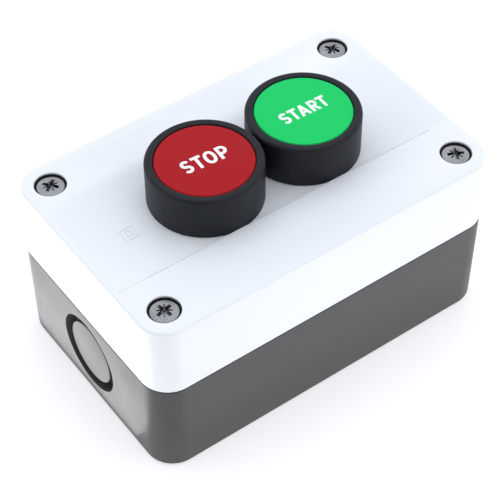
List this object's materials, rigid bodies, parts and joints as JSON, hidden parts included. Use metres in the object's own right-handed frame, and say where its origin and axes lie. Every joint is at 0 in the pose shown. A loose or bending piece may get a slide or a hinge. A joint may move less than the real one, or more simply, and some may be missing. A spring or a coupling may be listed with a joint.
{
  "type": "two-button control station",
  "caption": "Surface-mounted push-button box: grey base, white screwed cover, flush red STOP and green START buttons in black bezels, with contact blocks inside.",
  "frame": {"origin": "centre of the back face, where the box lies on the wall", "axes": "+Z out of the back face through the buttons, +X along the box's length from the STOP button to the START button, +Y across its width"},
  "size_m": [0.106, 0.068, 0.0629],
  "materials": {
    "base_plastic": "moulded dark grey, finely grained",
    "cover_plastic": "moulded cool white, satin",
    "black_plastic": "satin black",
    "stop_red": "satin red",
    "start_green": "satin green",
    "legend_white": "printed white",
    "rubber": "matte black rubber",
    "nickel": "bright nickel plate",
    "brass": "turned brass",
    "contact_copper": "rolled copper alloy",
    "spring_steel": "drawn spring wire",
    "zinc_steel": "zinc-plated sheet",
    "block_plastic": "light grey glass-filled",
    "plunger_red": "moulded red",
    "plunger_green": "moulded green"
  },
  "bodies": {
    "enclosure": {"base_box": "base_plastic", "cover": "cover_plastic", "cover_gasket": "rubber", "cover_screws": "nickel", "screw_seals": "rubber", "screw_inserts": "brass", "stop_head_body": "black_plastic", "start_head_body": "black_plastic", "stop_panel_gasket": "rubber", "start_panel_gasket": "rubber", "stop_ring_nut": "black_plastic", "start_ring_nut": "black_plastic", "stop_lip_seal": "rubber", "start_lip_seal": "rubber", "stop_return_spring": "spring_steel", "start_return_spring": "spring_steel", "mounting_rail": "zinc_steel", "rail_screws": "nickel", "stop_block_housing": "block_plastic", "start_block_housing": "block_plastic", "stop_block_lid": "block_plastic", "start_block_lid": "block_plastic", "stop_contact_spring": "spring_steel", "start_plunger_spring": "spring_steel", "stop_fixed_contacts": "brass", "start_fixed_contacts": "brass", "terminal_screws": "nickel", "clamp_plates": "zinc_steel"},
    "stop_button": {"stop_cap": "stop_red", "stop_pusher": "black_plastic"},
    "start_button": {"start_cap": "start_green", "start_pusher": "black_plastic"},
    "stop_contact": {"stop_block_plunger": "plunger_red", "stop_contact_bridge": "contact_copper"},
    "start_contact": {"start_block_plunger": "plunger_green", "start_contact_spring": "spring_steel"},
    "start_bridge": {"start_contact_bridge": "contact_copper"}
  },
  "joints": [
    {"name": "stop_push", "type": "slide", "parent": "enclosure", "child": "stop_button", "axis": [0, 0, -1], "range_m": [0, 0.004], "stiffness_N_per_m": 700, "springref_m": -0.004, "deforming": ["stop_return_spring"]},
    {"name": "start_push", "type": "slide", "parent": "enclosure", "child": "start_button", "axis": [0, 0, -1], "range_m": [0, 0.004], "stiffness_N_per_m": 700, "springref_m": -0.004, "deforming": ["start_return_spring"]},
    {"name": "stop_contact_slide", "type": "slide", "parent": "enclosure", "child": "stop_contact", "axis": [0, 0, -1], "range_m": [0, 0.004], "deforming": ["stop_contact_spring"]},
    {"name": "start_contact_slide", "type": "slide", "parent": "enclosure", "child": "start_contact", "axis": [0, 0, -1], "range_m": [0, 0.004], "deforming": ["start_plunger_spring"]},
    {"name": "start_bridge_slide", "type": "slide", "parent": "start_contact", "child": "start_bridge", "axis": [0, 0, 1], "range_m": [0, 0.0016], "deforming": ["start_contact_spring"]}
  ],
  "couplings": [
    {"joint": "stop_contact_slide", "follows": "stop_push", "ratio": 1},
    {"joint": "start_contact_slide", "follows": "start_push", "ratio": 1},
    {"joint": "start_bridge_slide", "follows": "start_push", "ratio": 0.4}
  ]
}
